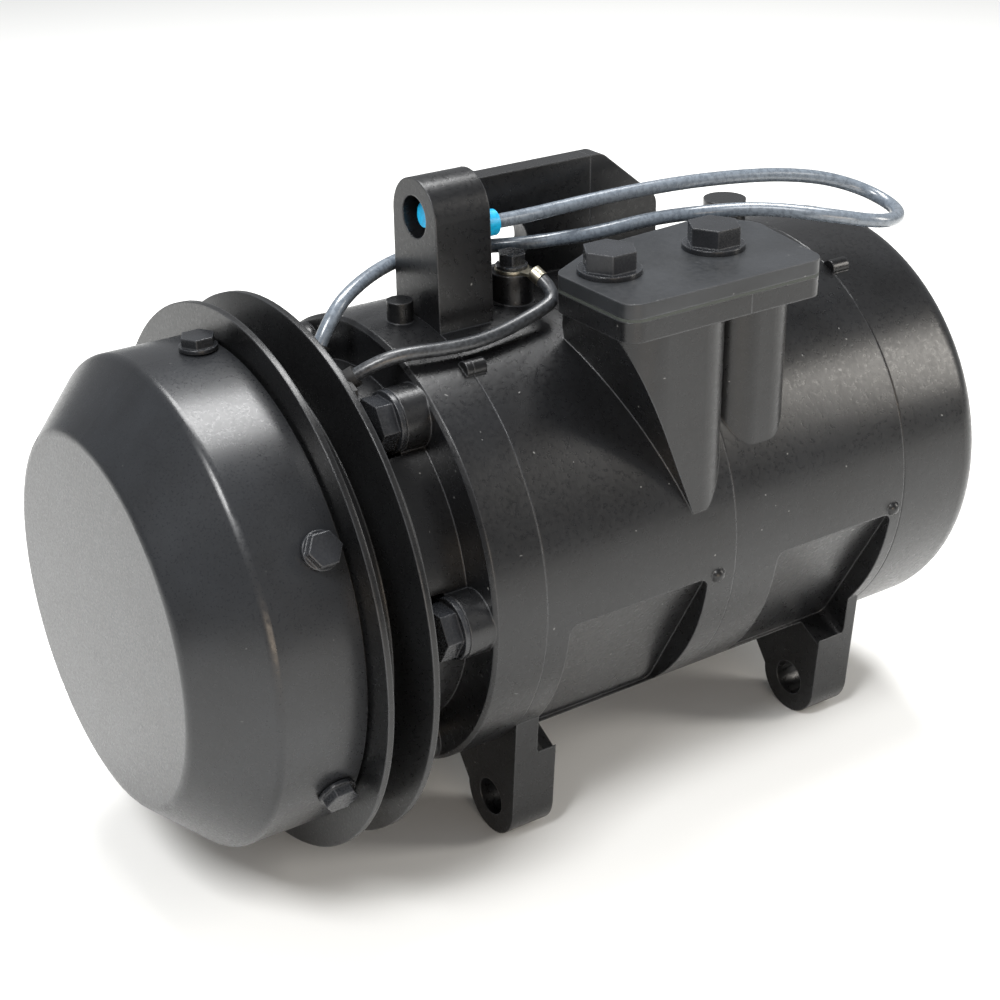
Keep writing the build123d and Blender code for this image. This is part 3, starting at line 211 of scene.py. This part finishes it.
def black_paint(name, colour, thin, rough, grain_mm, relief, coat, dust):
    """Sprayed black paint over metal; grain and relief are those of the metal below."""
    finish = bpy.data.materials.new(name)
    finish.use_nodes = True
    tree = finish.node_tree
    shader = tree.nodes["Principled BSDF"]
    place = add(tree, "ShaderNodeTexCoord").outputs["Object"]
    cloud = add(tree, "ShaderNodeTexNoise", {"Vector": place, "Scale": per_metre(CLOUD_MM),
                                             "Detail": 5.0, "Roughness": 0.6})
    grain = add(tree, "ShaderNodeTexNoise", {"Vector": place, "Scale": per_metre(grain_mm),
                                             "Detail": 3.0, "Roughness": 0.65})
    peel = add(tree, "ShaderNodeTexNoise", {"Vector": place, "Scale": per_metre(PEEL_MM),
                                            "Detail": 2.0})
    strayed = add(tree, "ShaderNodeTexNoise", {"Vector": place, "Scale": per_metre(DUST_DRIFT_MM)})
    scattered = add(tree, "ShaderNodeVectorMath", {
        0: strayed.outputs["Color"], 1: (DUST_STRAY, DUST_STRAY, DUST_STRAY), 2: place},
        operation="MULTIPLY_ADD")
    speck = add(tree, "ShaderNodeTexVoronoi", {"Vector": scattered.outputs["Vector"],
                                               "Scale": per_metre(DUST_SPACING_MM)})
    speck_mask = add(tree, "ShaderNodeMapRange", {
        "Value": speck.outputs["Distance"], "From Min": 0.055, "From Max": 0.025,
        "To Min": 0.0, "To Max": dust})
    rounded = add(tree, "ShaderNodeBevel", {"Radius": EDGE_RADIUS}, samples=6)
    facet = add(tree, "ShaderNodeNewGeometry")
    flatness = add(tree, "ShaderNodeVectorMath", {
        0: rounded.outputs["Normal"], 1: facet.outputs["Normal"]}, operation="DOT_PRODUCT")
    edge = add(tree, "ShaderNodeMapRange", {
        "Value": flatness.outputs["Value"], "From Min": 0.985, "From Max": 0.86,
        "To Min": 0.0, "To Max": 0.55})
    chipped = add(tree, "ShaderNodeMath", {
        0: edge.outputs["Result"], 1: cloud.outputs["Fac"]}, operation="MULTIPLY")
    film = add(tree, "ShaderNodeValToRGB", {"Fac": cloud.outputs["Fac"]})
    film.color_ramp.elements[0].position = 0.3
    film.color_ramp.elements[0].color = linear(colour)
    film.color_ramp.elements[1].position = 0.75
    film.color_ramp.elements[1].color = linear(thin)
    worn = add(tree, "ShaderNodeMix", {0: chipped.outputs["Value"],
                                       6: film.outputs["Color"], 7: linear("6a6c70")},
               data_type="RGBA")
    dusty = add(tree, "ShaderNodeMix", {0: speck_mask.outputs["Result"],
                                        6: worn.outputs[2], 7: linear("b9bab8")},
                data_type="RGBA")
    polish = add(tree, "ShaderNodeMapRange", {
        "Value": grain.outputs["Fac"], "From Min": 0.3, "From Max": 0.7,
        "To Min": rough - 0.06, "To Max": rough + 0.09})
    low = add(tree, "ShaderNodeBump", {"Height": peel.outputs["Fac"], "Strength": 0.35,
                                       "Distance": relief * 2,
                                       "Normal": rounded.outputs["Normal"]})
    high = add(tree, "ShaderNodeBump", {"Height": grain.outputs["Fac"], "Strength": 0.6,
                                        "Distance": relief, "Normal": low.outputs["Normal"]})
    tree.links.new(dusty.outputs[2], shader.inputs["Base Color"])
    tree.links.new(polish.outputs["Result"], shader.inputs["Roughness"])
    tree.links.new(high.outputs["Normal"], shader.inputs["Normal"])
    shader.inputs["Specular IOR Level"].default_value = PAINT_SPECULAR
    shader.inputs["Coat Weight"].default_value = coat
    shader.inputs["Coat Roughness"].default_value = 0.22
    return finish


# Sand-cast aluminium keeps its grain under the film and gathers the most dust.
cast_black = black_paint("semi_gloss_paint_on_sand_cast_aluminium", "0b0b0c", "17181a",
                         0.30, 1.3, 0.07 * mm, 0.165, 0.35)
# Pressed and turned steel is smooth, so it draws the lights as long, soft bands.
pressed_black = black_paint("satin_paint_on_pressed_steel", "17181a", "222427",
                            0.30, 0.7, 0.02 * mm, 0.18, 0.10)
pulley_black = black_paint("satin_paint_on_turned_steel", "0a0a0b", "121314",
                           0.30, 0.9, 0.015 * mm, 0.105, 0.0)
# The shipping cover is cut sheet under a thick, dull coat.
plate_black = black_paint("thick_paint_on_cut_steel_sheet", "1a1c1e", "2e3033",
                          0.38, 1.6, 0.06 * mm, 0.09, 0.25)
bolt_black = black_paint("paint_over_zinc_plated_bolts", "111214", "2a2c30",
                         0.26, 0.8, 0.02 * mm, 0.165, 0.0)
coil_black = black_paint("dipped_paint_on_drawn_steel_case", "101112", "1b1c1e",
                         0.45, 0.9, 0.02 * mm, 0.03, 0.0)
print("paints", [m.name for m in bpy.data.materials if "paint" in m.name])

# %% [markdown]
# ## Bare metals inside
# The shaft, bearings, pistons and valve plates never see paint. Turned and ground
# faces keep the fine lines of the tool, which run round the shaft, so the noise is
# squeezed along X and drawn out the other way. Cast iron, bronze and copper are the
# same recipe with their own colour and grain.

# %% The recipe for bare metal
OIL_MM = 15.0                 # patches of assembly oil
TURNED_EDGE = 0.3 * mm


def bare_metal(name, light, dark, rough, stroke_mm, relief):
    """Machined metal; stroke_mm is the size of the tool lines along X, Y and Z."""
    finish = bpy.data.materials.new(name)
    finish.use_nodes = True
    tree = finish.node_tree
    shader = tree.nodes["Principled BSDF"]
    place = add(tree, "ShaderNodeTexCoord").outputs["Object"]
    squeezed = add(tree, "ShaderNodeMapping", {
        "Vector": place, "Scale": [per_metre(size) for size in stroke_mm]})
    lines = add(tree, "ShaderNodeTexNoise", {"Vector": squeezed.outputs["Vector"],
                                             "Scale": 1.0, "Detail": 4.0})
    oil = add(tree, "ShaderNodeTexNoise", {"Vector": place, "Scale": per_metre(OIL_MM),
                                           "Detail": 3.0})
    tone = add(tree, "ShaderNodeValToRGB", {"Fac": lines.outputs["Fac"]})
    tone.color_ramp.elements[0].position = 0.25
    tone.color_ramp.elements[0].color = linear(dark)
    tone.color_ramp.elements[1].position = 0.75
    tone.color_ramp.elements[1].color = linear(light)
    sheen = add(tree, "ShaderNodeMapRange", {
        "Value": oil.outputs["Fac"], "From Min": 0.3, "From Max": 0.7,
        "To Min": rough - 0.05, "To Max": rough + 0.08})
    rounded = add(tree, "ShaderNodeBevel", {"Radius": TURNED_EDGE}, samples=4)
    cut = add(tree, "ShaderNodeBump", {"Height": lines.outputs["Fac"], "Strength": 0.5,
                                       "Distance": relief,
                                       "Normal": rounded.outputs["Normal"]})
    tree.links.new(tone.outputs["Color"], shader.inputs["Base Color"])
    tree.links.new(sheen.outputs["Result"], shader.inputs["Roughness"])
    tree.links.new(cut.outputs["Normal"], shader.inputs["Normal"])
    shader.inputs["Metallic"].default_value = 1.0
    return finish


ROUND_SHAFT = (0.35, 30.0, 30.0)
EVEN = (0.6, 0.6, 0.6)
metals = {
    "bearing_steel": bare_metal("hardened_ground_bearing_steel", "d4d6d8", "a9acb0",
                                0.16, ROUND_SHAFT, 0.004 * mm),
    "machined_steel": bare_metal("turned_carbon_steel", "b4b4b2", "85868a",
                                 0.30, ROUND_SHAFT, 0.01 * mm),
    "spring_steel": bare_metal("blued_spring_steel_strip", "7f8894", "4f5966",
                               0.26, (20.0, 0.4, 20.0), 0.004 * mm),
    "plated_steel": bare_metal("zinc_plated_steel", "c2c3bf", "8b8c88",
                               0.30, EVEN, 0.01 * mm),
    "cast_iron": bare_metal("ground_nodular_cast_iron", "8f8f8d", "5e5f60",
                            0.34, (0.5, 0.5, 12.0), 0.012 * mm),
    "bronze": bare_metal("sintered_bronze", "c39a5c", "8d6a39",
                         0.30, EVEN, 0.01 * mm),
    "aluminium": bare_metal("turned_silicon_aluminium", "d3d4d6", "a3a5a8",
                            0.28, ROUND_SHAFT, 0.01 * mm),
    "copper": bare_metal("enamelled_copper_winding", "b5622f", "6d3518",
                         0.32, (0.9, 0.9, 40.0), 0.08 * mm),
    "tinned_brass": bare_metal("tinned_brass", "b9b4a6", "85806f",
                               0.34, EVEN, 0.015 * mm),
}
print("bare metals", len(metals))

# %% [markdown]
# ## Rubber, fibre, nylon and the sleeve of the leads
# These are not metals: rubber and gasket fibre are matt and nearly even, nylon is
# smoother and lightly coated, and the leads wear a woven sleeve dipped in grey varnish,
# which fills the weave and shines along the top of each bend.

# %% The recipe for what is moulded or woven
def moulded(name, colour, deep, rough, grain_mm, relief, coat, through):
    """Rubber, fibre, nylon or sleeve; through is how much light passes into it."""
    finish = bpy.data.materials.new(name)
    finish.use_nodes = True
    tree = finish.node_tree
    shader = tree.nodes["Principled BSDF"]
    place = add(tree, "ShaderNodeTexCoord").outputs["Object"]
    texture = add(tree, "ShaderNodeTexNoise", {"Vector": place, "Scale": per_metre(grain_mm),
                                               "Detail": 3.0, "Roughness": 0.6})
    tone = add(tree, "ShaderNodeValToRGB", {"Fac": texture.outputs["Fac"]})
    tone.color_ramp.elements[0].position = 0.3
    tone.color_ramp.elements[0].color = linear(deep)
    tone.color_ramp.elements[1].position = 0.7
    tone.color_ramp.elements[1].color = linear(colour)
    rub = add(tree, "ShaderNodeMapRange", {
        "Value": texture.outputs["Fac"], "From Min": 0.3, "From Max": 0.7,
        "To Min": rough - 0.06, "To Max": rough + 0.06})
    press = add(tree, "ShaderNodeBump", {"Height": texture.outputs["Fac"], "Strength": 0.5,
                                         "Distance": relief})
    tree.links.new(tone.outputs["Color"], shader.inputs["Base Color"])
    tree.links.new(rub.outputs["Result"], shader.inputs["Roughness"])
    tree.links.new(press.outputs["Normal"], shader.inputs["Normal"])
    shader.inputs["Coat Weight"].default_value = coat
    shader.inputs["Coat Roughness"].default_value = 0.2
    shader.inputs["Subsurface Weight"].default_value = through
    shader.inputs["Subsurface Radius"].default_value = (0.6 * mm, 0.8 * mm, 1.0 * mm)
    return finish


rubber = moulded("nitrile_rubber", "1d1d1e", "131313", 0.62, 0.9, 0.02 * mm, 0.0, 0.0)
fibre = moulded("coated_fibre_gasket", "3b403b", "272b28", 0.70, 0.5, 0.02 * mm, 0.0, 0.0)
nylon = moulded("moulded_blue_nylon", "12b4e6", "0d93c4", 0.34, 1.2, 0.01 * mm, 0.2, 0.0)
supply_sleeve = moulded("varnished_sleeve_of_the_supply_lead", "6c757f", "535b64",
                        0.28, 1.4, 0.01 * mm, 0.6, 0.0)
earth_sleeve = moulded("varnished_sleeve_of_the_earth_lead", "3a3d41", "141517",
                       0.40, 0.9, 0.12 * mm, 0.3, 0.0)
print("moulded finishes", [m.name for m in (rubber, fibre, nylon)])

# %% [markdown]
# ## Dressing the parts
# The record says which finish slot each part belongs to, so one table of slots and one
# loop dress them all. The leads take their sleeves by hand.

# %% Give every part its finish
finishes = {
    "black_cast": cast_black, "cover_paint": pressed_black, "pulley_steel": pulley_black,
    "cover_plate": plate_black, "bolt_black": bolt_black, "coil_steel": coil_black,
    "rubber": rubber, "gasket": fibre, "connector_blue": nylon,
    "lead_grey": supply_sleeve, **metals}


def dress(piece, finish):
    """Gives a piece one finish, in place of whatever it had."""
    piece.data.materials.clear()
    piece.data.materials.append(finish)


for part in frame["record"]["subparts"]:
    dress(nodes[part["node"]], finishes[part["material_slot"]])
for painted_over in ("cover_screws", "earth_screw"):
    dress(nodes[painted_over], bolt_black)
dress(supply_lead, supply_sleeve)
dress(earth_lead, earth_sleeve)

# %% [markdown]
# ## Floor and light
# The machine stands on its four ears on a plain pale floor. Soft light comes from a
# large panel overhead. A small, stronger one high on the clutch side draws the bright
# line along the dust cover's crease, and two weak, warm ones at the rear and low in
# front lift the shadows, as light thrown back by a floor does.

# %% Lay the floor
FLOOR_SIZE = 12
floor_height = cad_box[0][2]


def lay_floor():
    """Matt paper under the ears, wide enough to reach past every view."""
    bpy.ops.object.select_all(action="DESELECT")
    bpy.ops.mesh.primitive_plane_add(size=FLOOR_SIZE, location=(0, 0, floor_height))
    floor = bpy.context.object
    floor.name = "studio_floor"
    paper = bpy.data.materials.new("matt_background_paper")
    paper.use_nodes = True
    shader = paper.node_tree.nodes["Principled BSDF"]
    shader.inputs["Base Color"].default_value = linear("f4f4f2")
    shader.inputs["Roughness"].default_value = 0.9
    shader.inputs["Specular IOR Level"].default_value = 0.1
    dress(floor, paper)
    return floor


lay_floor()
print("floor at", round(floor_height * 1000, 2), "mm")


# %% Hang the lights
def hang_panel(name, place, aim, width, height, watts, colour):
    """A flat lamp, width by height in metres, that faces the aim."""
    panel = bpy.data.lights.new(name, "AREA")
    panel.shape = "RECTANGLE"
    panel.size, panel.size_y = width, height
    panel.energy = watts
    panel.color = linear(colour)[:3]
    lamp = bpy.data.objects.new(name, panel)
    bpy.context.scene.collection.objects.link(lamp)
    lamp.location = place
    lamp.rotation_euler = (Vector(aim) - Vector(place)).to_track_quat("-Z", "Y").to_euler()
    return lamp


WORLD_STRENGTH = 0.42
middle = (0.09, 0.0, 0.0)     # about the middle of the barrel
hang_panel("key_panel", (-0.60, -0.35, 0.95), middle, 0.35, 0.35, 13, "ffffff")
hang_panel("top_panel", (0.25, 0.30, 1.10), middle, 0.7, 0.5, 20, "ffffff")
hang_panel("side_panel", (0.95, -0.65, 0.45), middle, 0.25, 0.5, 5, "fffaf2")
hang_panel("low_panel", (-0.20, -0.95, 0.10), middle, 0.5, 0.2, 2.5, "ffe9cf")
world = bpy.data.worlds.new("studio")
world.use_nodes = True
world.node_tree.nodes["Background"].inputs["Color"].default_value = linear("f2f4f7")
world.node_tree.nodes["Background"].inputs["Strength"].default_value = WORLD_STRENGTH
bpy.context.scene.world = world
bpy.context.scene.view_settings.view_transform = "Standard"
